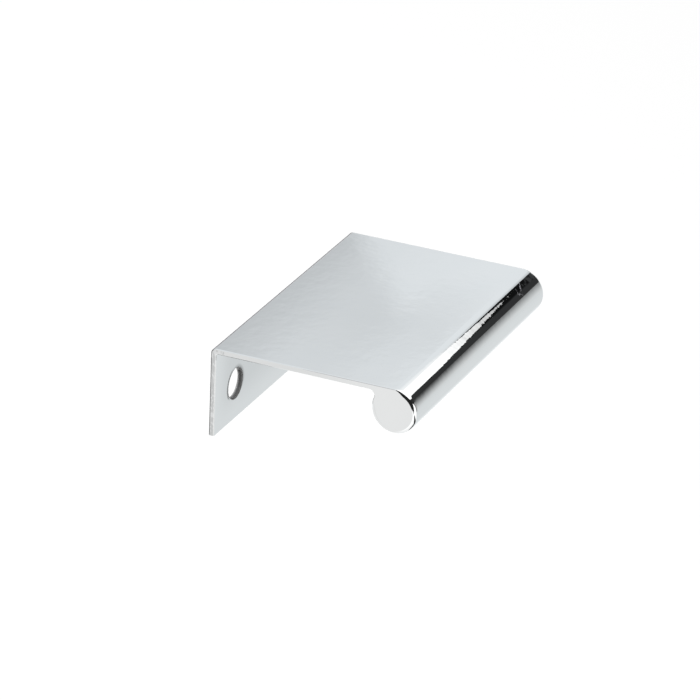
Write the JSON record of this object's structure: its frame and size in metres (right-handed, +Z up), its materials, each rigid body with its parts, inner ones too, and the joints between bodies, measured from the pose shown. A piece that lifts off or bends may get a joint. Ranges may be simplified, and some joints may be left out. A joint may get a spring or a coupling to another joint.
{
  "type": "tab pull",
  "caption": "One-piece polished chrome tab pull: a thin shelf plate with a drilled screw flange turned down at the back and a solid round finger bar along the front edge.",
  "frame": {"origin": "midway between the two screw holes, on the flange's flat back face", "axes": "+X along the finger bar, -Y out to the front past the bar, +Y into the panel that the flange is screwed to, +Z up through the shelf plate"},
  "size_m": [0.045, 0.03, 0.013],
  "materials": {
    "polished_chrome": "polished chrome plate, mirror bright, edges lightly rounded"
  },
  "bodies": {
    "root": {"tab_pull": "polished_chrome"}
  },
  "joints": []
}
